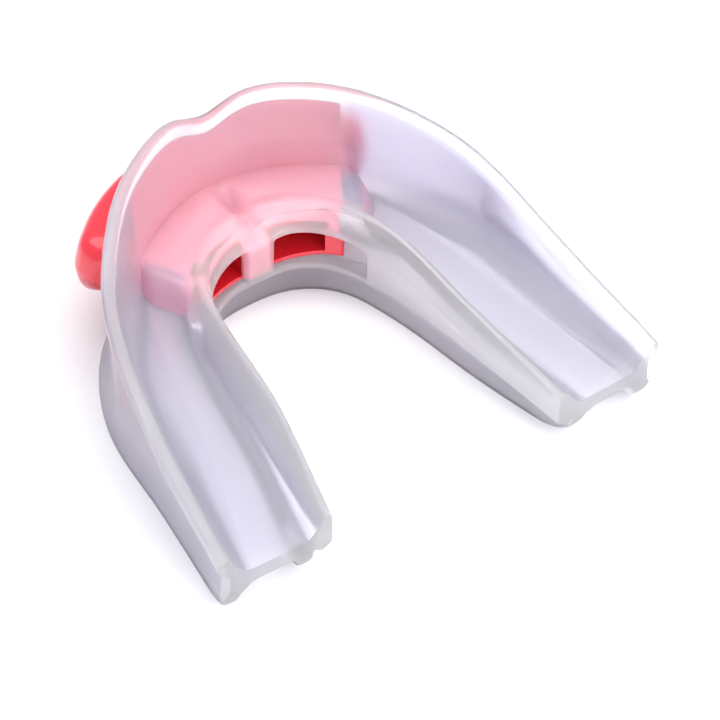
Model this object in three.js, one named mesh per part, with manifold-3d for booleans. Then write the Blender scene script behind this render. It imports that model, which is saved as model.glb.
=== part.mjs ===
// Double-sided mouthguard: a clear tray for both rows of teeth, and a red insert with two air ducts
// that is locked in its front. Millimetres, +Z up. The guard lies on its lower rims at z = 0,
// its lips side faces -Y and the two legs of the arch run back to +Y. While it is built, y = 0 is
// at the front of the upper labial rim.

import * as THREE from 'three';
import { mergeVertices } from 'three/addons/utils/BufferGeometryUtils.js';
import Module from 'manifold-3d';

const wasm = await Module();
wasm.setup();

// The arch: half of the bite plane's middle line, from the midline at the lips to the end of a leg.
const archFront = 5.5; // how far the line lies behind the labial rim
const archShoulder = new THREE.Vector2(15.5, 5.5);
const archCheek = new THREE.Vector2(19.5, 22);
const archEnd = new THREE.Vector2(24.3, 52.6);

// Sizes along the arch, at these shares of the half arch: lips, incisor, canine, premolar, molar, leg end.
const stations = [0, 0.15, 0.3, 0.45, 0.7, 1];
const along = {
  upperRimOut: [5.5, 5.1, 6.9, 9.0, 9.0, 7.9], // outer edge of the upper labial rim, out from the line
  upperRimTop: [27.6, 27.7, 25.8, 22.3, 15.9, 10.3],
  wallCreaseOut: [2.8, 2.5, 4.3, 5.9, 6.5, 5.4], // where the steep wall turns into the sloping floor side
  wallCreaseTop: [20, 20, 17, 14.7, 12.2, 8.6],
  floorOuter: [2.4, 2.2, 3.0, 2.0, 1.2, 3.6],
  floorTop: [12.6, 12.6, 12.3, 11.4, 9.5, 7.3],
  innerRimOut: [-3.8, -4.2, -4.4, -5.5, -7.7, -7.7], // lingual edge of the upper trough
  innerRimTop: [15.3, 15.4, 15.8, 16.0, 14.3, 10.0],
  tongueFaceOut: [-8.0, -7.2, -5.5, -5.8, -7.4, -7.8], // lingual face at the top of the slots
  tongueFaceTop: [12.9, 12.7, 11.4, 10.6, 9.6, 7.6],
  ridgeOut: [-7.6, -6.7, -5.5, -5.6, -6.8, -7.7], // edge above the set-back lower flange
  ridgeTop: [6.2, 5.9, 5.5, 5.5, 5.5, 5.2],
  lowerInnerOut: [-5.2, -4.7, -4.0, -4.7, -5.8, -5.1], // lingual edge of the lower inner rim
  lowerRoofTop: [5.0, 5.0, 5.4, 6.2, 6.0, 4.8], // underside of the bite plane
  lowerOuterOut: [6.4, 7.0, 9.2, 9.7, 7.9, 7.0], // outer edge of the lower labial rim
  slotFloor: [7.4, 6.6, 5.9, 5.2, 5, 5],
  slotRoof: [12.4, 12.4, 11.0, 9.8, 9, 9],
};
const rimWidth = 1.7;
const footWidth = 1.4; // flat underside of the lower rims
const wallDraft = 0.6; // the outer wall stands this far inside the rims
const notchDepth = 2.4; // frenum notch in the upper labial rim
const notchHalf = 3.2;
const archSteps = 84;
const endSlant = 2; // the outer rims end this much farther back than a square cut would
const innerFootCut = [6, 4.4]; // length and height of the rounded cut under the inner flange's end
const outerFootCut = [4.5, 3.6];

// The insert.
const gap = 0.3;
const shellSkin = 1.5; // clear wall between the insert and the tongue side
const coreFloor = 6.7;
const coreRoof = 13.9;
const coreSlope = 3; // the core's roof drops to the tongue side over this length
const shieldFoot = 5.4;
const shieldDrop = 2.5; // the shield's top runs this far below the upper rim
const shieldInset = 0.7; // the shield lies this deep in the labial wall
const shieldProud = 0.6;
const bumperOut = 12.2; // the bumper's lips side, out from the line
const bumperFoot = 9.4;
const bumperTop = 17.6;
const insertApex = 33.5; // the insert's ends are radial cuts that meet here on the midline
const insertHalfAngle = THREE.MathUtils.degToRad(31.7);
const housingEnd = 2.5; // clear wall past each end of the insert
const housingTop = 15.7;
const housingReach = 0.42; // share of the half arch that the housing's blank covers before its ends are cut
const housingSteps = 34;

// Breathing ducts and slots.
const postHalf = 0.059; // half the post between the slots, as a share of the half arch
const slotEnd = 0.378;
const ductFrom = 0.055;
const chamberTo = 0.25; // the chamber behind each slot is wider than the duct that leads to the lips
const ductTo = 0.13;
const chamberFront = 1.5; // out from the line
const ductFloor = 7.6;
const ductRoof = 12.2;
const ductBend = -1; // the ducts run level up to here, out from the line, and then rise to the lips
const ductNeckOut = 5.2;
const ductMouthOut = 14;
const ductMouthFloor = 10.9;
const ductMouthRoof = 15.3;

const arch = new THREE.CubicBezierCurve(
  new THREE.Vector2(0, archFront),
  archShoulder,
  archCheek,
  archEnd,
);

// Turns the rows above into smooth functions of the share of the half arch.
const profile = {};
for (const [name, values] of Object.entries(along)) {
  const track = new THREE.CubicInterpolant(stations, values, 1);
  track.settings = { endingStart: THREE.ZeroSlopeEnding, endingEnd: THREE.ZeroCurvatureEnding };
  profile[name] = (share) => track.evaluate(share)[0];
}
const halfLength = arch.getLength();

function sizesAt(share) {
  const at = {};
  for (const name of Object.keys(profile)) {
    at[name] = profile[name](share);
  }
  const fromMidline = (share * halfLength) / notchHalf;
  at.upperRimTop -= notchDepth * Math.exp(-fromMidline * fromMidline);
  at.wallOut = Math.min(at.upperRimOut, at.lowerOuterOut) - wallDraft;
  return at;
}

// Both lower flanges curve up towards the leg ends. This lifts a point of a flange.
function lifted(up, share, [length, height]) {
  const toEnd = Math.min((1 - share) * halfLength, length);
  const lift = height * (1 - Math.sqrt(1 - (1 - toEnd / length) ** 2));
  return lift + up * (1 - lift / profile.ridgeTop(share));
}

// Outline of the tray across the arch: out from the line, and up. It runs anticlockwise.
function traySection(share) {
  const s = sizesAt(share);
  const waist = (s.upperRimTop + s.lowerRoofTop) / 2;
  const inner = (up) => lifted(up, share, innerFootCut);
  const outer = (up) => lifted(up, share, outerFootCut);
  return [
    [s.lowerOuterOut - 0.3, outer(0)],
    [s.lowerOuterOut, outer(0.5)],
    [s.lowerOuterOut - 0.4, outer(2.5)],
    [s.wallOut, Math.min(7, waist - 1.5)],
    [s.wallOut, waist],
    [s.upperRimOut - 0.7, s.upperRimTop - 2],
    [s.upperRimOut, s.upperRimTop - 0.9],
    [s.upperRimOut - 0.35, s.upperRimTop - 0.15],
    [s.upperRimOut - 1.1, s.upperRimTop],
    [s.upperRimOut - rimWidth, s.upperRimTop - 0.6],
    [s.wallCreaseOut, s.wallCreaseTop],
    [(s.wallCreaseOut + s.floorOuter) / 2 - 0.3, (s.wallCreaseTop + s.floorTop) / 2 - 0.6],
    [s.floorOuter, s.floorTop],
    [s.innerRimOut + 2.9, s.floorTop],
    [s.innerRimOut + 0.9, s.innerRimTop - 0.3],
    [s.innerRimOut + 0.3, s.innerRimTop],
    [s.innerRimOut, s.innerRimTop - 0.5],
    [s.tongueFaceOut, s.tongueFaceTop],
    [s.ridgeOut, s.ridgeTop],
    [s.lowerInnerOut - 0.2, inner(s.ridgeTop - 1.6)],
    [s.lowerInnerOut, inner(0.5)],
    [s.lowerInnerOut + 0.3, inner(0)],
    [s.lowerInnerOut + 0.3 + footWidth, inner(0)],
    [s.lowerInnerOut + 3, inner(s.lowerRoofTop - 1)],
    [s.lowerInnerOut + 4, s.lowerRoofTop],
    [s.lowerOuterOut - 4.6, s.lowerRoofTop],
    [s.lowerOuterOut - 3.4, outer(s.lowerRoofTop - 1.2)],
    [s.lowerOuterOut - 0.3 - footWidth, outer(0)],
  ];
}

// The raised housing over the insert. It overlaps the wall, the floor and the inner rim.
function housingSection(share) {
  const s = sizesAt(share);
  return [
    [s.innerRimOut + 0.6, coreFloor],
    [s.wallOut - 0.6, coreFloor],
    [s.wallOut - 0.6, housingTop + 0.6],
    [s.floorOuter + 0.4, housingTop + 0.1],
    [s.innerRimOut + 0.6, s.innerRimTop - 0.05],
  ];
}

// The insert across the arch. With room above zero it is the pocket that the insert needs in the tray.
function insertSection(room) {
  return (share) => {
    const s = sizesAt(share);
    const tongueSide = s.tongueFaceOut + shellSkin - room;
    const tongueRoof = s.tongueFaceTop - shellSkin + room;
    const shieldBack = s.wallOut - shieldInset - room;
    const front = s.wallOut + shieldProud + room;
    const shieldTop = s.upperRimTop - shieldDrop;
    return [
      [tongueSide, coreFloor - room],
      [shieldBack, coreFloor - room],
      [shieldBack, shieldFoot - room],
      [front, shieldFoot - room],
      [front + 0.2, bumperFoot - room],
      [bumperOut - 2.4 + room, bumperFoot - room],
      [bumperOut - 0.5 + room, bumperFoot + 1.4],
      [bumperOut + room, bumperFoot + 3.4],
      [bumperOut - 0.6 + room, bumperTop - 2],
      [bumperOut - 2.8 + room, bumperTop + room],
      [front + 0.2, bumperTop + 1 + room],
      [front, shieldTop + room],
      [shieldBack, shieldTop + room],
      [shieldBack, coreRoof + room],
      [tongueSide + coreSlope, coreRoof + room],
      [tongueSide, tongueRoof],
    ];
  };
}

function slotSection(share) {
  const s = sizesAt(share);
  return [
    [s.tongueFaceOut - 3, s.slotFloor],
    [s.tongueFaceOut + shellSkin + 0.9, s.slotFloor],
    [s.tongueFaceOut + shellSkin + 0.9, s.slotRoof],
    [s.tongueFaceOut - 3, s.slotRoof],
  ];
}

function chamberSection(share) {
  const back = sizesAt(share).tongueFaceOut - 1;
  return [
    [back, ductFloor],
    [chamberFront, ductFloor],
    [chamberFront, ductRoof],
    [back, ductRoof],
  ];
}

function ductSection() {
  return [
    [ductBend, ductFloor],
    [ductNeckOut, ductMouthFloor - 0.5],
    [ductMouthOut, ductMouthFloor],
    [ductMouthOut, ductMouthRoof],
    [ductNeckOut + 1.2, ductMouthRoof - 0.2],
    [ductNeckOut - 1.6, ductRoof + 0.9],
    [ductBend, ductRoof],
  ];
}

// Bends a straight extrusion of the section round the arch, from one share of the arch to another.
// Shares below zero are on the -X leg.
function sweep(section, from, to, steps) {
  const outline = section(Math.abs(to));
  const shape = new THREE.Shape(outline.map(([out, up]) => new THREE.Vector2(out, up)));
  const geometry = new THREE.ExtrudeGeometry(shape, { depth: 1, steps, bevelEnabled: false });
  const corner = new Map(outline.map(([out, up], i) => [cornerKey(out, up), i]));
  const place = geometry.attributes.position;
  for (let i = 0; i < place.count; i += 1) {
    const at = THREE.MathUtils.lerp(to, from, place.getZ(i));
    const share = Math.abs(at);
    const side = Math.sign(at);
    const [out, up] = section(share)[corner.get(cornerKey(place.getX(i), place.getY(i)))];
    const middle = arch.getPointAt(share);
    const forward = arch.getTangentAt(share);
    const slant = ((endSlant * Math.max(0, out)) / 8) * THREE.MathUtils.smoothstep(share, 0.8, 1);
    const x = middle.x + forward.y * out + forward.x * slant;
    const y = middle.y - forward.x * out + forward.y * slant;
    place.setXYZ(i, side * x, y, up);
  }
  return toSolid(geometry);
}

function cornerKey(out, up) {
  return `${out.toFixed(3)} ${up.toFixed(3)}`;
}

// A wedge between two radial cuts that meet on the midline behind the lips.
function wedge(apex, halfAngle) {
  const reach = 60;
  const shape = new THREE.Shape([
    new THREE.Vector2(0, apex),
    new THREE.Vector2(-reach * Math.tan(halfAngle), apex - reach),
    new THREE.Vector2(reach * Math.tan(halfAngle), apex - reach),
  ]);
  return toSolid(new THREE.ExtrudeGeometry(shape, { depth: 40, bevelEnabled: false }));
}

function toSolid(geometry) {
  geometry.deleteAttribute('normal');
  geometry.deleteAttribute('uv');
  const merged = mergeVertices(geometry, 1e-4);
  const vertProperties = new Float32Array(merged.attributes.position.array);
  const triVerts = new Uint32Array(merged.index.array);
  return new wasm.Manifold(new wasm.Mesh({ numProp: 3, vertProperties, triVerts }));
}

function toMesh(solid, name, material) {
  const { vertProperties, triVerts } = solid.getMesh();
  const geometry = new THREE.BufferGeometry();
  geometry.setAttribute('position', new THREE.BufferAttribute(vertProperties, 3));
  geometry.setIndex(new THREE.BufferAttribute(triVerts, 1));
  geometry.computeVertexNormals();
  const mesh = new THREE.Mesh(geometry, material);
  mesh.name = name;
  return mesh;
}

// The small valley in the housing's lingual edge on the midline.
function frenumValley() {
  const valley = new THREE.BoxGeometry(2, 5.5, 2);
  valley.rotateY(Math.PI / 4);
  valley.rotateX(THREE.MathUtils.degToRad(-14));
  valley.translate(0, 7.6, housingTop - 0.1);
  return toSolid(valley);
}

function clearTray() {
  const housing = sweep(housingSection, -housingReach, housingReach, housingSteps).intersect(
    wedge(insertApex + housingEnd / Math.sin(insertHalfAngle), insertHalfAngle),
  );
  const pocket = sweep(insertSection(gap), -housingReach, housingReach, housingSteps).intersect(
    wedge(insertApex + gap / Math.sin(insertHalfAngle), insertHalfAngle),
  );
  return sweep(traySection, -1, 1, archSteps)
    .add(housing)
    .subtract(pocket)
    .subtract(sweep(slotSection, postHalf, slotEnd, 14))
    .subtract(sweep(slotSection, -slotEnd, -postHalf, 14))
    .subtract(frenumValley());
}

function breathingInsert() {
  const solid = sweep(insertSection(0), -housingReach, housingReach, housingSteps).intersect(
    wedge(insertApex, insertHalfAngle),
  );
  return solid
    .subtract(sweep(chamberSection, ductFrom, chamberTo, 8))
    .subtract(sweep(chamberSection, -chamberTo, -ductFrom, 8))
    .subtract(sweep(ductSection, ductFrom, ductTo, 5))
    .subtract(sweep(ductSection, -ductTo, -ductFrom, 5));
}

const clearEva = new THREE.MeshStandardMaterial({ color: 0xdcd9e8, roughness: 0.32, metalness: 0 });
const redRubber = new THREE.MeshStandardMaterial({ color: 0xe8303f, roughness: 0.22, metalness: 0 });

const mouthguard = new THREE.Group();
mouthguard.add(toMesh(clearTray(), 'clear_tray', clearEva));
mouthguard.add(toMesh(breathingInsert(), 'breathing_insert', redRubber));

// The origin goes to the middle of the guard's box, on the ground.
const middle = new THREE.Box3().setFromObject(mouthguard).getCenter(new THREE.Vector3());
for (const mesh of mouthguard.children) {
  mesh.geometry.translate(0, -middle.y, 0);
}

export default mouthguard;
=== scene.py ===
import math

import bmesh
import bpy
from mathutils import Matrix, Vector, kdtree


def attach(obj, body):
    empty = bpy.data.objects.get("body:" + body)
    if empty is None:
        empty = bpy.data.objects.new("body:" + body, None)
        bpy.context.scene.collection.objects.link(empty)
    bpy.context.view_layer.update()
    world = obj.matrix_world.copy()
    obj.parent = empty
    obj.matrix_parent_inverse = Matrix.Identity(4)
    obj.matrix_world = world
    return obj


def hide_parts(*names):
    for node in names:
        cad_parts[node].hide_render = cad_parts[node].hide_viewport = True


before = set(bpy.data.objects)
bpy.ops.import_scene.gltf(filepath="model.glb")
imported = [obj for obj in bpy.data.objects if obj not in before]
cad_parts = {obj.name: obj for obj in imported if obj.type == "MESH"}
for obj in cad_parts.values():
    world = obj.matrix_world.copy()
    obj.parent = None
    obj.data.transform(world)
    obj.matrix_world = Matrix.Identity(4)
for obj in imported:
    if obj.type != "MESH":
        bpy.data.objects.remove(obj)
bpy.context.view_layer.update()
print("frame loaded")

mm = 0.001

# middle line of the bite plane for one half, from the lips to the leg end
arch = {
    "lips": (0.0, -18.05),
    "shoulder": (15.5, -18.05),
    "cheek": (19.5, -1.55),
    "legEnd": (24.3, 29.05),
    "endSlant": 2.0,
    "samples": 400,
}


def curvePoint(t):
    u = 1 - t
    shares = (u * u * u, 3 * u * u * t, 3 * u * t * t, t * t * t)
    handles = (arch["lips"], arch["shoulder"], arch["cheek"], arch["legEnd"])
    x = sum(k * h[0] for k, h in zip(shares, handles))
    y = sum(k * h[1] for k, h in zip(shares, handles))
    return Vector((x, y))


archPoints = [curvePoint(i / arch["samples"]) for i in range(arch["samples"] + 1)]
archLengths = [0.0]
for before, after in zip(archPoints, archPoints[1:]):
    archLengths.append(archLengths[-1] + (after - before).length)
halfLength = archLengths[-1]


# share of the half arch, mm out from the line, mm up; negative shares are the -X leg
def onArch(share, out, up):
    want = min(abs(share), 1.0) * halfLength
    i = min(range(len(archLengths) - 1), key=lambda n: abs(archLengths[n] - want)) if want else 0
    if i and archLengths[i] > want:
        i -= 1
    i = min(i, len(archLengths) - 2)
    k = (want - archLengths[i]) / (archLengths[i + 1] - archLengths[i])
    spot = archPoints[i].lerp(archPoints[i + 1], k)
    t = (i + k) / arch["samples"]
    ahead = (curvePoint(t + 1e-3) - curvePoint(t - 1e-3)).normalized()
    if share == 0:
        ahead = Vector((1.0, 0.0))
    slant = arch["endSlant"] * (out + 8) / 16 * softStep(0.8, 1, abs(share))
    spot = spot + ahead * slant
    side = -1.0 if share < 0 else 1.0
    return Vector((side * (spot.x + ahead.y * out), spot.y - ahead.x * out, up))


archTree = kdtree.KDTree(len(archPoints))
for i, point in enumerate(archPoints):
    archTree.insert((point.x, point.y, 0), i)
archTree.balance()


def archPlace(spot):  # share of the half arch and mm out from its line, for a spot in mm
    near, i, away = archTree.find((abs(spot.x), spot.y, 0))
    ahead = (archPoints[min(i + 1, arch["samples"])] - archPoints[max(i - 1, 0)]).normalized()
    return archLengths[i] / halfLength, (abs(spot.x) - near.x) * ahead.y - (spot.y - near.y) * ahead.x


def smoothRow(stations, values):  # a smooth curve through the values, level at the midline
    slopes = [0.0]
    for i in range(1, len(values)):
        back = (values[i] - values[i - 1]) / (stations[i] - stations[i - 1])
        if i == len(values) - 1:
            slopes.append(back)
        else:
            onward = (values[i + 1] - values[i]) / (stations[i + 1] - stations[i])
            a, b = stations[i] - stations[i - 1], stations[i + 1] - stations[i]
            slopes.append((back * b + onward * a) / (a + b))

    def row(at):
        at = min(max(at, stations[0]), stations[-1])
        i = max(n for n in range(len(stations) - 1) if stations[n] <= at + 1e-9)
        width = stations[i + 1] - stations[i]
        t = (at - stations[i]) / width
        return (
            (1 + 2 * t) * (1 - t) ** 2 * values[i]
            + t * (1 - t) ** 2 * width * slopes[i]
            + t * t * (3 - 2 * t) * values[i + 1]
            + t * t * (t - 1) * width * slopes[i + 1]
        )

    return row


def softMax(a, b, blend):
    return max(a, b) + blend * math.log1p(math.exp(-abs(a - b) / blend))


def softStep(low, high, value):
    t = min(max((value - low) / (high - low), 0.0), 1.0)
    return t * t * (3 - 2 * t)


def mixed(a, b, t):
    return a + (b - a) * t


# corners are (out, up, rounding, arc steps, points along the next straight)
def roundedRing(corners):
    ring = []
    count = len(corners)
    arcs = []
    for i, (x, y, rounding, steps, _) in enumerate(corners):
        here = Vector((x, y))
        back = Vector(corners[i - 1][:2]) - here
        onward = Vector(corners[(i + 1) % count][:2]) - here
        turn = math.pi - back.angle(onward, 0.0)
        reach = rounding * math.tan(turn / 2) if turn < 3.0 else 9.0
        reach = min(reach, 0.46 * back.length, 0.46 * onward.length)
        first, last = here + back.normalized() * reach, here + onward.normalized() * reach
        arc = []
        for k in range(steps + 1):
            t = k / steps
            arc.append(first * (1 - t) ** 2 + here * 2 * t * (1 - t) + last * t * t)
        arcs.append(arc)
    for i, (arc, corner) in enumerate(zip(arcs, corners)):
        ring += [(p, i) for p in arc]
        following = arcs[(i + 1) % count][0]
        for k in range(1, corner[4] + 1):
            ring.append((arc[-1].lerp(following, k / (corner[4] + 1)), i + 0.5))
    return ring


# rings that close in a little while they carry on past the last one
def roundedEnd(last, before, size, steps=3):
    centre = sum(last, Vector()) / len(last)
    onward = centre - sum(before, Vector()) / len(before)
    onward.z = 0
    onward.normalize()
    rings = []
    for k in range(1, steps + 1):
        a = (math.pi / 2) * k / steps
        shrink = 1 - size * (1 - math.cos(a)) / 8
        rings.append([centre + (p - centre) * shrink + onward * size * math.sin(a) for p in last])
    return rings


# extrudes the first ring of points step by step through the others and closes both ends
def sweepRings(rings, name, endRounding=0.0):
    if endRounding:
        first = roundedEnd(rings[0], rings[1], endRounding)
        last = roundedEnd(rings[-1], rings[-2], endRounding)
        rings = first[::-1] + rings + last
    bm = bmesh.new()
    verts = [bm.verts.new(p * mm) for p in rings[0]]
    edges = [bm.edges.new((a, b)) for a, b in zip(verts, verts[1:] + verts[:1])]
    for ring in rings[1:]:
        made = bmesh.ops.extrude_edge_only(bm, edges=edges)["geom"]
        fresh = {v for v in made if isinstance(v, bmesh.types.BMVert)}
        made = [e for e in made if isinstance(e, bmesh.types.BMEdge)]
        edges = [e for e in made if e.verts[0] in fresh and e.verts[1] in fresh]
        nextVerts = []
        for v in verts:
            nextVerts.append(next(e.other_vert(v) for e in v.link_edges if e.other_vert(v) in fresh))
        verts = nextVerts
        for v, p in zip(verts, ring):
            v.co = p * mm
    rims = [e for e in bm.edges if e.is_boundary]
    bmesh.ops.holes_fill(bm, edges=rims, sides=0)
    bmesh.ops.recalc_face_normals(bm, faces=bm.faces)
    return toObject(bm, name)


def toObject(bm, name):
    mesh = bpy.data.meshes.new(name)
    bm.to_mesh(mesh)
    bm.free()
    piece = bpy.data.objects.new(name, mesh)
    bpy.context.scene.collection.objects.link(piece)
    return piece


def combine(piece, tools, operation):
    for tool in tools:
        modifier = piece.modifiers.new("combine", "BOOLEAN")
        modifier.operation = operation
        modifier.solver = "EXACT"
        modifier.object = tool
    result = bpy.data.meshes.new_from_object(piece.evaluated_get(bpy.context.evaluated_depsgraph_get()))
    piece.modifiers.clear()
    old = piece.data
    piece.data = result
    bpy.data.meshes.remove(old)
    for tool in tools:
        mesh = tool.data
        bpy.data.objects.remove(tool)
        bpy.data.meshes.remove(mesh)


def finishSurface(piece, sharpAngle):
    bm = bmesh.new()
    bm.from_mesh(piece.data)
    bmesh.ops.remove_doubles(bm, verts=bm.verts, dist=0.004 * mm)
    bmesh.ops.dissolve_degenerate(bm, edges=bm.edges, dist=0.003 * mm)
    bm.to_mesh(piece.data)
    bm.free()
    for face in piece.data.polygons:
        face.use_smooth = True
    piece.data.set_sharp_from_angle(angle=math.radians(sharpAngle))
    weighted = piece.modifiers.new("weightedNormals", "WEIGHTED_NORMAL")
    weighted.keep_sharp = True


# the insert's ends and the housing's ends are radial cuts that meet behind the lips
insertCut = {"apex": 9.95, "halfAngle": 31.7}
cutAngle = math.radians(insertCut["halfAngle"])


def pastCut(spot):  # mm past the radial cut
    return abs(spot.x) * math.cos(cutAngle) + (spot.y - insertCut["apex"]) * math.sin(cutAngle)


# all mm; rows run from the lips to the leg end at these shares of the half arch
tray = {
    "stations": (0, 0.15, 0.3, 0.45, 0.7, 1),
    "upperRimOut": (5.5, 5.1, 6.9, 9.0, 9.0, 7.9),
    "upperRimTop": (27.6, 27.7, 25.8, 22.3, 15.9, 10.3),
    "wallCreaseOut": (2.8, 2.5, 4.3, 5.9, 6.5, 5.4),
    "wallCreaseTop": (20, 20, 17, 14.7, 12.2, 8.6),
    "floorOuter": (2.4, 2.2, 3.0, 2.0, 1.2, 3.6),
    "floorTop": (12.6, 12.6, 12.3, 11.4, 9.5, 7.3),
    "innerRimOut": (-3.8, -4.2, -4.4, -5.5, -7.7, -7.7),
    "innerRimTop": (15.3, 15.4, 15.8, 16.0, 14.3, 10.0),
    "tongueFaceOut": (-8.0, -7.2, -5.5, -5.8, -7.4, -7.8),
    "tongueFaceTop": (12.9, 12.7, 11.4, 10.6, 9.6, 7.6),
    "ridgeOut": (-7.6, -6.7, -5.5, -5.6, -6.8, -7.7),
    "ridgeTop": (6.2, 5.9, 5.5, 5.5, 5.5, 5.2),
    "lowerInnerOut": (-5.2, -4.7, -4.0, -4.7, -5.8, -5.1),
    "lowerRoofTop": (5.0, 5.0, 5.4, 6.2, 6.0, 4.8),
    "lowerOuterOut": (6.4, 7.0, 9.2, 9.7, 7.9, 7.0),
    "slotFloor": (7.4, 6.6, 5.9, 5.2, 5, 5),
    "slotRoof": (12.4, 12.4, 11.0, 9.8, 9, 9),
    "rimWidth": 1.7,
    "footWidth": 1.4,
    "wallDraft": 0.6,
    "notchDepth": 2.4,
    "notchHalf": 3.2,
    "housingTop": 15.75,
    "housingEnd": 2.6,
    "housingCorner": 2.4,
    "housingSteepness": 3.0,
    "dimpleDepth": 1.4,
    "dimpleBack": -17.4,
    "dimpleWide": 1.3,
    "dimpleLong": 2.4,
    "notchOutDepth": 0.9,
    "notchOutWide": 1.1,
    "endRounding": 0.3,
    "innerFootCut": (6.0, 4.6),
    "outerFootCut": (4.5, 3.6),
    "ringSpacing": 0.42,
}
trayRows = {
    name: smoothRow(tray["stations"], values)
    for name, values in tray.items()
    if isinstance(values, tuple) and len(values) == 6 and name != "stations"
}


def traySizes(share):
    s = {name: row(share) for name, row in trayRows.items()}
    s["upperRimTop"] -= tray["notchDepth"] * math.exp(-((share * halfLength / tray["notchHalf"]) ** 2))
    s["wallOut"] = min(s["upperRimOut"], s["lowerOuterOut"]) - tray["wallDraft"]
    return s


def trayCorners(share):
    s = traySizes(share)
    waist = (s["upperRimTop"] + s["lowerRoofTop"]) / 2
    rimIn = s["upperRimOut"] - tray["rimWidth"]
    foot = tray["footWidth"]
    lowerRim, lowerInner = s["lowerOuterOut"], s["lowerInnerOut"]
    creaseMid = (
        max((s["wallCreaseOut"] + s["floorOuter"]) / 2 - 0.3, s["floorOuter"] + 0.15),
        (s["wallCreaseTop"] + s["floorTop"]) / 2 - 0.6,
    )
    return [
        (lowerRim, 0, 0.7, 4, 1),
        (lowerRim - 0.4, 2.5, 3, 2, 1),
        (s["wallOut"], min(7, waist - 1.5), 5, 2, 1),
        (s["wallOut"], waist, 5, 2, 3),
        (s["upperRimOut"] - 0.75, s["upperRimTop"] - 2.3, 0.8, 3, 0),
        (s["upperRimOut"], s["upperRimTop"] - 1.5, 0.5, 3, 0),
        (s["upperRimOut"], s["upperRimTop"] + 0.05, 0.8, 4, 1),
        (rimIn - 0.1, s["upperRimTop"] + 0.05, 0.9, 4, 1),
        (rimIn, s["upperRimTop"] - 1.5, 2.5, 3, 5),
        (s["wallCreaseOut"], s["wallCreaseTop"], 6, 4, 4),
        (creaseMid[0], creaseMid[1], 6, 4, 3),
        (s["floorOuter"], s["floorTop"], 2.2, 5, 8),
        (s["innerRimOut"] + 2.9, s["floorTop"], 1.6, 5, 2),
        (s["innerRimOut"] + 0.95, s["innerRimTop"], 0.7, 4, 0),
        (s["innerRimOut"], s["innerRimTop"], 0.5, 4, 2),
        (s["tongueFaceOut"], s["tongueFaceTop"], 1.3, 4, 3),
        (s["ridgeOut"], s["ridgeTop"], 0.35, 4, 1),
        (lowerInner - 0.1, s["ridgeTop"] - 1.5, 0.7, 3, 1),
        (lowerInner, 0, 0.6, 4, 0),
        (lowerInner + 0.3 + foot, 0, 0.6, 3, 1),
        (lowerInner + 3, s["lowerRoofTop"] - 0.6, 1.2, 4, 0),
        (lowerInner + 4, s["lowerRoofTop"], 1.2, 3, 1),
        (lowerRim - 4.6, s["lowerRoofTop"], 1.2, 3, 0),
        (lowerRim - 3.4, s["lowerRoofTop"] - 0.8, 1.2, 3, 1),
        (lowerRim - 0.3 - foot, 0, 0.6, 3, 0),
    ]


def valley(spot):  # depth of the dimple on the midline and of the shallow notch that leads out of it
    x, y = spot.x, spot.y
    dimple = math.exp(-((x / tray["dimpleWide"]) ** 2) - ((y - tray["dimpleBack"]) / tray["dimpleLong"]) ** 2)
    notch = math.exp(-((x / tray["notchOutWide"]) ** 2))
    notch *= softStep(tray["dimpleBack"] - 0.5, tray["dimpleBack"] + 1.5, y)
    return softMax(tray["dimpleDepth"] * dimple, tray["notchOutDepth"] * notch, 0.05) - 0.035


def footLift(share, up, cut, limit):  # the flanges curve up towards the leg ends
    length, height = cut
    toEnd = min(max((1 - abs(share)) * halfLength - tray["endRounding"], 0.0), length)
    lift = height * (1 - math.sqrt(1 - (1 - toEnd / length) ** 2))
    return max(up, lift + up * (1 - lift / limit)) if up < limit else up


def trayRing(share):
    s = traySizes(abs(share))
    ring = []
    for flat, corner in roundedRing(trayCorners(abs(share))):
        spot = onArch(share, flat.x, flat.y)
        if corner >= 17:  # the inner flange first, then the outer one
            cut = tray["innerFootCut"] if corner <= 20.5 else tray["outerFootCut"]
            spot.z = footLift(share, spot.z, cut, s["ridgeTop"])
        elif corner <= 1.5:
            spot.z = footLift(share, spot.z, tray["outerFootCut"], s["ridgeTop"])
        if 8 <= corner <= 14.6:  # inside the upper trough and on its tongue rim
            corners = softStep(1.5, 5, flat.x) * tray["housingCorner"]
            past = pastCut(spot) - tray["housingEnd"] + corners
            across = softStep(s["innerRimOut"], s["innerRimOut"] + 4.5, flat.x)
            top = mixed(s["innerRimTop"] - 0.2, tray["housingTop"], across)
            slope = 0.3 * math.log1p(math.exp(min(past / 0.3, 60)))
            spot.z = softMax(spot.z, top - tray["housingSteepness"] * slope, 0.22)
            spot.z -= valley(spot)
        elif 14.6 < corner <= 15.5 and abs(spot.x) < 5:
            fade = softStep(s["innerRimTop"] - 1.4, s["innerRimTop"] - 0.1, spot.z)
            spot.z -= valley(spot) * fade
        ring.append(spot)
    return ring


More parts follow.
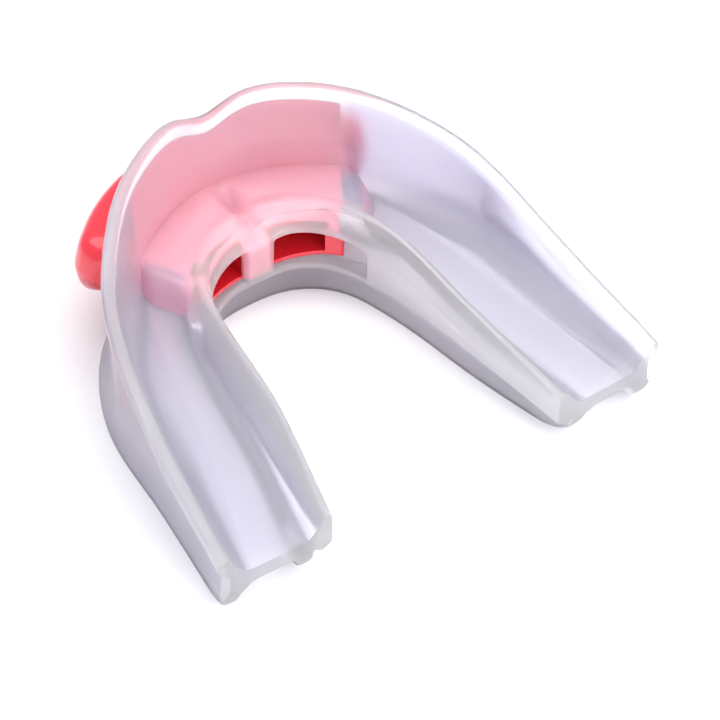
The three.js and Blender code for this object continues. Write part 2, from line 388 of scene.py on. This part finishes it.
def slotCutter(side, name):
    slot = {"from": 0.059, "to": 0.378, "corner": 0.45, "alongPoints": 30, "upPoints": 5}
    steps = ((-1.6, 0.55), (-0.02, 0.5), (0.08, 0.3), (0.22, 0.14), (0.42, 0.04), (0.7, 0.0), (2.5, -0.05))
    long = (slot["to"] - slot["from"]) * halfLength
    rings = []
    for depth, grow in steps:
        outline = []
        low, high = -grow, long + grow
        radius = max(slot["corner"] - grow * 0.2, 0.2) + grow
        for k in range(slot["alongPoints"] + 1):
            outline.append((mixed(low + radius, high - radius, k / slot["alongPoints"]), 0.0, -grow))
        for k in range(1, 5):
            a = math.pi / 2 * k / 4
            outline.append((high - radius + radius * math.sin(a), 0.0, -grow + radius * (1 - math.cos(a))))
        for k in range(1, slot["upPoints"]):
            outline.append((high, k / slot["upPoints"], None))
        for k in range(4):
            a = math.pi / 2 * k / 4
            outline.append((high - radius + radius * math.cos(a), 1.0, grow - radius * (1 - math.sin(a))))
        for k in range(slot["alongPoints"] + 1):
            outline.append((mixed(high - radius, low + radius, k / slot["alongPoints"]), 1.0, grow))
        for k in range(1, 5):
            a = math.pi / 2 * k / 4
            outline.append((low + radius - radius * math.sin(a), 1.0, grow - radius * (1 - math.cos(a))))
        for k in range(1, slot["upPoints"]):
            outline.append((low, 1 - k / slot["upPoints"], None))
        for k in range(4):
            a = math.pi / 2 * k / 4
            outline.append((low + radius - radius * math.cos(a), 0.0, -grow + radius * (1 - math.sin(a))))
        ring = []
        for along, level, lift in outline:
            share = slot["from"] + along / halfLength
            s = traySizes(share)
            floor, roof = s["slotFloor"] - grow, s["slotRoof"] + grow
            if lift is None:
                up = mixed(floor + radius, roof - radius, level)
            else:
                up = (s["slotRoof"] if level else s["slotFloor"]) + lift
            faceAt = (up - s["ridgeTop"]) / (s["tongueFaceTop"] - s["ridgeTop"])
            face = mixed(s["ridgeOut"], s["tongueFaceOut"], faceAt)
            ring.append(onArch(side * share, face + depth, up))
        rings.append(ring)
    return sweepRings(rings, name)


def sharesBetween(low, high, spacing):
    count = max(2, round((high - low) * halfLength / spacing))
    return [mixed(low, high, k / count) for k in range(count + 1)]


# all mm; out is measured from the bite plane's middle line
insert = {
    "shellSkin": 1.5,
    "coreFloor": 6.7,
    "coreRoof": 13.9,
    "coreSlope": 3,
    "shieldFoot": 5.4,
    "shieldDrop": 2.5,
    "shieldInset": 0.7,
    "shieldProud": 0.45,
    "bumperOut": 12.2,
    "bumperFoot": 9.4,
    "bumperTop": 17.7,
    "reach": 0.34,
    "endRounding": 0.35,
}


def insertRing(share, room):
    s = traySizes(abs(share))
    tongueSide = s["tongueFaceOut"] + insert["shellSkin"] - room
    shieldBack = s["wallOut"] - insert["shieldInset"] - room
    front = s["wallOut"] + insert["shieldProud"] + room
    shieldTop = s["upperRimTop"] - insert["shieldDrop"] + room
    corners = [
        (tongueSide, insert["coreFloor"] - room, 0.5, 3, 4),
        (shieldBack, insert["coreFloor"] - room, 0.3, 2, 0),
        (shieldBack, insert["shieldFoot"] - room, 0.3, 2, 0),
        (front, insert["shieldFoot"] - room, 0.5, 3, 8),
        (front, shieldTop, 0.5, 3, 0),
        (shieldBack, shieldTop, 0.3, 2, 4),
        (shieldBack, insert["coreRoof"] + room, 0.3, 2, 2),
        (tongueSide + insert["coreSlope"], insert["coreRoof"] + room, 0.8, 3, 1),
        (tongueSide, s["tongueFaceTop"] - insert["shellSkin"] + room, 0.6, 3, 2),
    ]
    return [onArch(share, flat.x, flat.y) for flat, corner in roundedRing(corners)]


def trimmedInsert(room, name):
    rings = [insertRing(share, room) for share in sharesBetween(-insert["reach"], insert["reach"], 0.6)]
    piece = sweepRings(rings, name)
    bm = bmesh.new()
    bm.from_mesh(piece.data)
    for side in (-1, 1):
        normal = Vector((side * math.cos(cutAngle), math.sin(cutAngle), 0))
        origin = (Vector((0, insertCut["apex"], 0)) + normal * room) * mm
        geom = bm.verts[:] + bm.edges[:] + bm.faces[:]
        bmesh.ops.bisect_plane(bm, geom=geom, plane_co=origin, plane_no=normal, clear_outer=True)
        rims = [e for e in bm.edges if e.is_boundary]
        cap = bmesh.ops.holes_fill(bm, edges=rims, sides=0)["faces"]
        if room == 0:
            roundCap(bm, cap, insert["endRounding"])
    bmesh.ops.recalc_face_normals(bm, faces=bm.faces)
    bm.to_mesh(piece.data)
    bm.free()
    return piece


def roundCap(bm, cap, size, steps=3):
    bmesh.ops.recalc_face_normals(bm, faces=bm.faces)
    for v in {v for f in cap for v in f.verts}:
        v.co -= cap[0].normal * size * mm
    for k in range(steps):
        a, b = (math.pi / 2) * k / steps, (math.pi / 2) * (k + 1) / steps
        bmesh.ops.inset_region(
            bm,
            faces=cap,
            thickness=size * (math.cos(a) - math.cos(b)) * mm,
            depth=size * (math.sin(b) - math.sin(a)) * mm,
            use_even_offset=True,
            use_boundary=True,
        )


# all mm
bumper = {
    "end": 0.268,
    "endRound": 3.2,
    "backOut": -0.9,
    "topRounding": 2.3,
}


def bumperRing(share):
    s = traySizes(abs(share))
    left = (bumper["end"] - abs(share)) * halfLength * 1.45
    k = min(max(left / bumper["endRound"], 0.0), 1.0)
    shrink = bumper["endRound"] * (1 - math.sqrt(max(0.0, 1 - (1 - k) ** 2)))
    back = s["wallOut"] + bumper["backOut"]
    low, high = insert["bumperFoot"] + shrink * 0.8, insert["bumperTop"] - shrink * 0.8
    out = insert["bumperOut"] - shrink
    corners = [
        (back, low, 0.3, 2, 2),
        (out - 0.7, low, 1.9, 5, 1),
        (out, (low + high) / 2 - 0.5, 5, 4, 1),
        (out - 1.1, high, bumper["topRounding"], 6, 3),
        (back, high + 0.25, 0.3, 2, 3),
    ]
    return [onArch(share, flat.x, flat.y) for flat, corner in roundedRing(corners)]


def makeBumper():
    shares = sharesBetween(-bumper["end"] + 0.004, bumper["end"] - 0.004, 0.5)
    ends = [bumper["end"] - n for n in (0.0002, 0.0008, 0.002)]
    rings = [bumperRing(share) for share in [-n for n in ends] + shares + ends[::-1]]
    return sweepRings(rings, "bumperTool")


# all mm
duct = {
    "from": 0.055,
    "chamberTo": 0.25,
    "to": 0.13,
    "chamberFront": 1.5,
    "floor": 7.6,
    "roof": 12.2,
    "bend": -1,
    "neckOut": 5.2,
    "mouthOut": 14,
    "mouthFloor": 10.9,
    "mouthRoof": 15.3,
}


def chamberTool(side):
    rings = []
    for share in sharesBetween(duct["from"], duct["chamberTo"], 0.8):
        back = traySizes(share)["tongueFaceOut"] - 1
        corners = [
            (back, duct["floor"], 0.1, 1, 1),
            (duct["chamberFront"], duct["floor"], 0.8, 4, 1),
            (duct["chamberFront"], duct["roof"], 0.8, 4, 1),
            (back, duct["roof"], 0.1, 1, 1),
        ]
        rings.append([onArch(side * share, flat.x, flat.y) for flat, corner in roundedRing(corners)])
    return sweepRings(rings, "chamberTool")


def ductTool(side):
    rings = []
    for share in sharesBetween(duct["from"], duct["to"], 0.8):
        corners = [
            (duct["bend"], duct["floor"], 0.1, 1, 1),
            (duct["neckOut"], duct["mouthFloor"] - 0.5, 3, 4, 1),
            (duct["mouthOut"], duct["mouthFloor"], 0.1, 1, 1),
            (duct["mouthOut"], duct["mouthRoof"], 0.1, 1, 1),
            (duct["neckOut"] + 1.2, duct["mouthRoof"] - 0.2, 2, 4, 1),
            (duct["neckOut"] - 1.6, duct["roof"] + 0.9, 3, 4, 1),
            (duct["bend"], duct["roof"], 0.1, 1, 1),
        ]
        rings.append([onArch(side * share, flat.x, flat.y) for flat, corner in roundedRing(corners)])
    return sweepRings(rings, "ductTool")


def makeInsert():
    piece = trimmedInsert(0, "redInsert")
    combine(piece, [makeBumper()], "UNION")
    combine(piece, [chamberTool(1), chamberTool(-1), ductTool(1), ductTool(-1)], "DIFFERENCE")
    finishSurface(piece, 38)
    markCoverLightShade(piece)
    return piece


def markCoverLightShade(piece):  # red: painted light, the red paler and pinker where the clear tray covers it; green: painted shade inside the breathing chambers
    layer = piece.data.attributes.new("coverLightShade", "FLOAT_COLOR", "FACE")
    for face in piece.data.polygons:
        spot = face.center / mm
        share, out = archPlace(spot)
        s = traySizes(share)
        level = duct["floor"] - 0.2 < spot.z < duct["roof"] + 0.2
        alongChamber = duct["from"] - 0.01 < share < duct["chamberTo"] + 0.01
        chamber = level and alongChamber and out < duct["chamberFront"] + 0.2
        tongueSide = s["tongueFaceOut"] + insert["shellSkin"] + 0.3
        inSlot = s["slotFloor"] - 0.3 < spot.z < s["slotRoof"] + 0.3
        window = inSlot and out < tongueSide and share > duct["from"]
        # where the painted light of the tray's haze goes
        covered = out < s["wallOut"] - 0.35 and not chamber and not window
        # where the painted chamber shade goes
        deepShade = level and out > tongueSide
        layer.data[face.index].color = (1.0 if covered else 0.0, 1.0 if deepShade and not covered else 0.0, 0, 1)


def markLightShadeZones(piece):  # red: painted shade inside the upper trough, green: painted light, paler, on the tongue side, blue: painted shade on the outer side
    layer = piece.data.attributes.new("lightShadeZones", "FLOAT_COLOR", "POINT")
    for v in piece.data.vertices:
        spot = v.co / mm
        share, out = archPlace(spot)
        rim, inner, floor = (trayRows[name](share) for name in ("upperRimTop", "innerRimOut", "floorTop"))
        wall = min(trayRows["upperRimOut"](share), trayRows["lowerOuterOut"](share)) - tray["wallDraft"]
        # painted shade mask for the upper trough
        trough = softStep(inner + 0.6, inner + 2.6, out) * (1 - softStep(wall - 0.9, wall - 0.3, out))
        trough *= softStep(floor - 1.2, floor - 0.4, spot.z) * (1 - softStep(rim - 1.3, rim - 0.3, spot.z))
        trough *= softStep(-0.5, 1.5, pastCut(spot))
        wallShare = softStep(floor + 1, floor + 3, spot.z)
        # the painted trough shade is weighted by how light falls on each leg: on the -X leg strongest on the
        # walls, on the +X leg strongest on the floor
        trough *= mixed(0.5, 1.0, wallShare) if spot.x < 0 else mixed(0.6, 0.35, wallShare)
        # painted light mask for the tongue side
        tongue = (1 - softStep(inner + 0.4, inner + 2.4, out)) * softStep(4.5, 6.0, spot.z)
        tongue = max(tongue, softStep(0.99, 0.996, share))  # painted light: the leg ends get the same paler tint as the tongue side
        # painted shade mask for the outer face, below the rim
        outer = softStep(wall - 0.3, wall - 0.05, out) * (1 - softStep(rim - 2.2, rim - 1.2, spot.z))
        layer.data[v.index].color = (trough, tongue, outer, 1)


def makeTray():
    endShare = 1 - tray["endRounding"] / halfLength
    close = [endShare - n / halfLength for n in (0.4, 0.24, 0.12, 0.04, 0)]  # tighter rings near the ends
    shares = [-n for n in close[::-1]] + sharesBetween(-close[0], close[0], tray["ringSpacing"])[1:-1] + close
    rings = [trayRing(share) for share in shares]
    piece = sweepRings(rings, "clearTray", tray["endRounding"])
    combine(piece, [trimmedInsert(-0.05, "pocketTool")], "DIFFERENCE")
    combine(piece, [slotCutter(1, "slotToolA"), slotCutter(-1, "slotToolB")], "DIFFERENCE")
    finishSurface(piece, 38)
    markLightShadeZones(piece)
    return piece


def mouldedSkinGroup():  # fine unevenness of a moulded surface: height, roughness and cloudiness
    group = bpy.data.node_groups.new("mouldedSkin", "ShaderNodeTree")
    for name, kind, value in (
        ("Grain Size", "NodeSocketFloat", 1500.0),
        ("Wave Size", "NodeSocketFloat", 120.0),
        ("Roughness Low", "NodeSocketFloat", 0.25),
        ("Roughness High", "NodeSocketFloat", 0.4),
    ):
        socket = group.interface.new_socket(name, in_out="INPUT", socket_type=kind)
        socket.default_value = value
    for name in ("Height", "Roughness", "Cloud"):
        group.interface.new_socket(name, in_out="OUTPUT", socket_type="NodeSocketFloat")
    nodes, links = group.nodes, group.links
    inputs, outputs = nodes.new("NodeGroupInput"), nodes.new("NodeGroupOutput")
    place = nodes.new("ShaderNodeTexCoord")
    grain, wave = nodes.new("ShaderNodeTexNoise"), nodes.new("ShaderNodeTexNoise")
    grain.inputs["Detail"].default_value = 4
    wave.inputs["Detail"].default_value = 3
    wave.inputs["Distortion"].default_value = 0.6
    links.new(place.outputs["Object"], grain.inputs["Vector"])
    links.new(place.outputs["Object"], wave.inputs["Vector"])
    links.new(inputs.outputs["Grain Size"], grain.inputs["Scale"])
    links.new(inputs.outputs["Wave Size"], wave.inputs["Scale"])
    total = nodes.new("ShaderNodeMath")
    total.operation = "MULTIPLY_ADD"
    total.inputs[1].default_value = 0.25
    links.new(grain.outputs["Fac"], total.inputs[0])
    links.new(wave.outputs["Fac"], total.inputs[2])
    spread = nodes.new("ShaderNodeMapRange")
    spread.inputs["From Min"].default_value = 0.3
    spread.inputs["From Max"].default_value = 0.7
    links.new(wave.outputs["Fac"], spread.inputs["Value"])
    links.new(inputs.outputs["Roughness Low"], spread.inputs["To Min"])
    links.new(inputs.outputs["Roughness High"], spread.inputs["To Max"])
    links.new(total.outputs[0], outputs.inputs["Height"])
    links.new(spread.outputs["Result"], outputs.inputs["Roughness"])
    links.new(wave.outputs["Fac"], outputs.inputs["Cloud"])
    return group


def newMaterial(name):
    material = bpy.data.materials.new(name)
    material.use_nodes = True
    shader = material.node_tree.nodes["Principled BSDF"]
    return material, material.node_tree.nodes, material.node_tree.links, shader


def paintLayers(nodes, links, colour, layers):  # lays each colour over the last, where its mask says
    for mask, value in layers:
        layer = nodes.new("ShaderNodeMix")
        layer.data_type = "RGBA"
        layer.inputs["B"].default_value = value
        links.new(mask, layer.inputs["Factor"])
        links.new(colour, layer.inputs["A"])
        colour = layer.outputs["Result"]
    return colour


clearLook = {
    "tint": (0.86, 0.85, 0.93, 1),
    "cloudTint": (0.94, 0.94, 0.955, 1),
    # painted shade: a darker lavender inside the upper trough, where the walls shade it
    "troughPaintedShade": (0.68, 0.67, 0.82, 1),
    # painted light: a paler tint on the tongue side and the leg ends
    "tonguePaintedLight": (0.98, 0.975, 0.965, 1),
    # painted shade: darker on the outer face below the rim
    "outerPaintedShade": (0.70, 0.68, 0.76, 1),
    # painted shade: darker towards the bottom, on the lower flanges
    "footPaintedShade": (0.64, 0.63, 0.67, 1),
    "footShadeFade": (3.0, 5.2),  # mm up, from the painted foot shade to the plain tint
    "transmission": 0.78,
    "milkDepth": 2.0,  # mm that light wanders inside the milky share
    "ior": 1.45,
    "roughness": (0.30, 0.40),
    "bump": 0.08,
}


def clearMaterial(skin):
    material, nodes, links, shader = newMaterial("frostedEva")
    texture = nodes.new("ShaderNodeGroup")
    texture.node_tree = skin
    texture.inputs["Grain Size"].default_value = 1400
    texture.inputs["Wave Size"].default_value = 110
    texture.inputs["Roughness Low"].default_value = clearLook["roughness"][0]
    texture.inputs["Roughness High"].default_value = clearLook["roughness"][1]
    tint = nodes.new("ShaderNodeMix")
    tint.data_type = "RGBA"
    tint.inputs["A"].default_value = clearLook["tint"]
    tint.inputs["B"].default_value = clearLook["cloudTint"]
    links.new(texture.outputs["Cloud"], tint.inputs["Factor"])
    lightShadeZones = nodes.new("ShaderNodeAttribute")
    lightShadeZones.attribute_name = "lightShadeZones"
    parts = nodes.new("ShaderNodeSeparateColor")
    links.new(lightShadeZones.outputs["Color"], parts.inputs["Color"])
    place, height = nodes.new("ShaderNodeTexCoord"), nodes.new("ShaderNodeSeparateXYZ")
    links.new(place.outputs["Object"], height.inputs["Vector"])
    # painted shade: the tray gets darker towards its foot
    foot = nodes.new("ShaderNodeMapRange")
    foot.interpolation_type = "SMOOTHSTEP"
    foot.inputs["From Min"].default_value = clearLook["footShadeFade"][1] * mm
    foot.inputs["From Max"].default_value = clearLook["footShadeFade"][0] * mm
    links.new(height.outputs["Z"], foot.inputs["Value"])
    # painted light and painted shade laid over the tray's own tint
    layers = (
        (foot.outputs["Result"], clearLook["footPaintedShade"]),
        (parts.outputs["Blue"], clearLook["outerPaintedShade"]),
        (parts.outputs["Green"], clearLook["tonguePaintedLight"]),
        (parts.outputs["Red"], clearLook["troughPaintedShade"]),
    )
    colour = paintLayers(nodes, links, tint.outputs["Result"], layers)
    links.new(colour, shader.inputs["Base Color"])
    links.new(texture.outputs["Roughness"], shader.inputs["Roughness"])
    bump = nodes.new("ShaderNodeBump")
    bump.inputs["Strength"].default_value = clearLook["bump"]
    bump.inputs["Distance"].default_value = 0.2 * mm
    links.new(texture.outputs["Height"], bump.inputs["Height"])
    links.new(bump.outputs["Normal"], shader.inputs["Normal"])
    shader.inputs["Transmission Weight"].default_value = clearLook["transmission"]
    shader.inputs["IOR"].default_value = clearLook["ior"]
    shader.inputs["Subsurface Weight"].default_value = 1.0
    shader.inputs["Subsurface Radius"].default_value = (1.0, 0.95, 1.0)
    shader.inputs["Subsurface Scale"].default_value = clearLook["milkDepth"] * mm
    return material


redLook = {
    "red": (0.88, 0.04, 0.065, 1),
    "deepRed": (0.8, 0.025, 0.045, 1),
    # painted light: a paler, pinker red where the milky tray covers the insert, for the light the tray
    # scatters over it
    "coveredPaintedLight": (1.0, 0.29, 0.43, 1),
    # painted shade: a darker red inside the breathing chambers
    "chamberPaintedShade": (0.6, 0.012, 0.02, 1),
    "roughness": (0.16, 0.26),
    "coat": 0.5,
    "bump": 0.12,
}


def redMaterial(skin):
    material, nodes, links, shader = newMaterial("glossyRedRubber")
    texture = nodes.new("ShaderNodeGroup")
    texture.node_tree = skin
    texture.inputs["Grain Size"].default_value = 1900
    texture.inputs["Wave Size"].default_value = 160
    texture.inputs["Roughness Low"].default_value = redLook["roughness"][0]
    texture.inputs["Roughness High"].default_value = redLook["roughness"][1]
    tint = nodes.new("ShaderNodeMix")
    tint.data_type = "RGBA"
    tint.inputs["A"].default_value = redLook["red"]
    tint.inputs["B"].default_value = redLook["deepRed"]
    links.new(texture.outputs["Cloud"], tint.inputs["Factor"])
    coverLightShade, parts = nodes.new("ShaderNodeAttribute"), nodes.new("ShaderNodeSeparateColor")
    coverLightShade.attribute_name = "coverLightShade"
    links.new(coverLightShade.outputs["Color"], parts.inputs["Color"])
    # painted light under the tray and painted shade in the chambers, over the red's own tone
    layers = (
        (parts.outputs["Red"], redLook["coveredPaintedLight"]),
        (parts.outputs["Green"], redLook["chamberPaintedShade"]),
    )
    colour = paintLayers(nodes, links, tint.outputs["Result"], layers)
    links.new(colour, shader.inputs["Base Color"])
    links.new(texture.outputs["Roughness"], shader.inputs["Roughness"])
    bump = nodes.new("ShaderNodeBump")
    bump.inputs["Strength"].default_value = redLook["bump"]
    bump.inputs["Distance"].default_value = 0.15 * mm
    links.new(texture.outputs["Height"], bump.inputs["Height"])
    links.new(bump.outputs["Normal"], shader.inputs["Normal"])
    shader.inputs["Coat Weight"].default_value = redLook["coat"]
    shader.inputs["Coat Roughness"].default_value = 0.06
    shader.inputs["IOR"].default_value = 1.5
    return material


skin = mouldedSkinGroup()
redInsert = makeInsert()
redInsert.data.materials.clear()
redInsert.data.materials.append(redMaterial(skin))
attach(redInsert, "root")
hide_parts("breathing_insert")
print("red insert made", len(redInsert.data.polygons))

clearTray = makeTray()
clearTray.data.materials.clear()
clearTray.data.materials.append(clearMaterial(skin))
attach(clearTray, "root")
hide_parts("clear_tray")
print("clear tray made", len(clearTray.data.polygons))

# table and light
table = {"size": 4.0, "colour": (0.93, 0.93, 0.93, 1)}


def makeFloor():
    bm = bmesh.new()
    bmesh.ops.create_grid(bm, x_segments=2, y_segments=2, size=table["size"])
    floor = toObject(bm, "tableTop")
    material, nodes, links, shader = newMaterial("paleTable")
    shader.inputs["Base Color"].default_value = table["colour"]
    shader.inputs["Roughness"].default_value = 0.7
    shader.inputs["Specular IOR Level"].default_value = 0.2
    floor.data.materials.append(material)


def addSoftLight(name, spot, aim, size, power):
    data = bpy.data.lights.new(name, "AREA")
    data.shape = "RECTANGLE"
    data.size, data.size_y = size
    data.energy = power
    lamp = bpy.data.objects.new(name, data)
    lamp.location = spot
    lamp.rotation_euler = (Vector(aim) - Vector(spot)).to_track_quat("-Z", "Y").to_euler()
    bpy.context.scene.collection.objects.link(lamp)


makeFloor()
addSoftLight("overheadLight", (-0.06, 0.0, 0.55), (0, 0, 0), (0.7, 0.7), 3.6)
addSoftLight("backLight", (-0.12, 0.5, 0.35), (0, 0, 0.01), (0.5, 0.4), 2.6)
world = bpy.data.worlds.new("studio")
bpy.context.scene.world = world
world.use_nodes = True
world.node_tree.nodes["Background"].inputs["Color"].default_value = (0.62, 0.61, 0.66, 1)
world.node_tree.nodes["Background"].inputs["Strength"].default_value = 1.0
cycles = bpy.context.scene.cycles  # light passes many frosted walls
cycles.max_bounces = 24
cycles.transmission_bounces = 24
cycles.diffuse_bounces = 6
cycles.glossy_bounces = 6
bpy.context.scene.view_settings.view_transform = "Standard"

# camera
view = {"spot": (0.165307, 0.251773, 0.309939), "aim": (-0.00085, 0.01043, 0.00907), "lens": 170.4}
cameraData = bpy.data.cameras.new("camera")
cameraData.lens = view["lens"]
cameraData.sensor_width = 36
cameraData.clip_start = 0.01
camera = bpy.data.objects.new("camera", cameraData)
camera.location = view["spot"]
camera.rotation_euler = (Vector(view["aim"]) - Vector(view["spot"])).to_track_quat("-Z", "Y").to_euler()
bpy.context.scene.collection.objects.link(camera)
bpy.context.scene.camera = camera
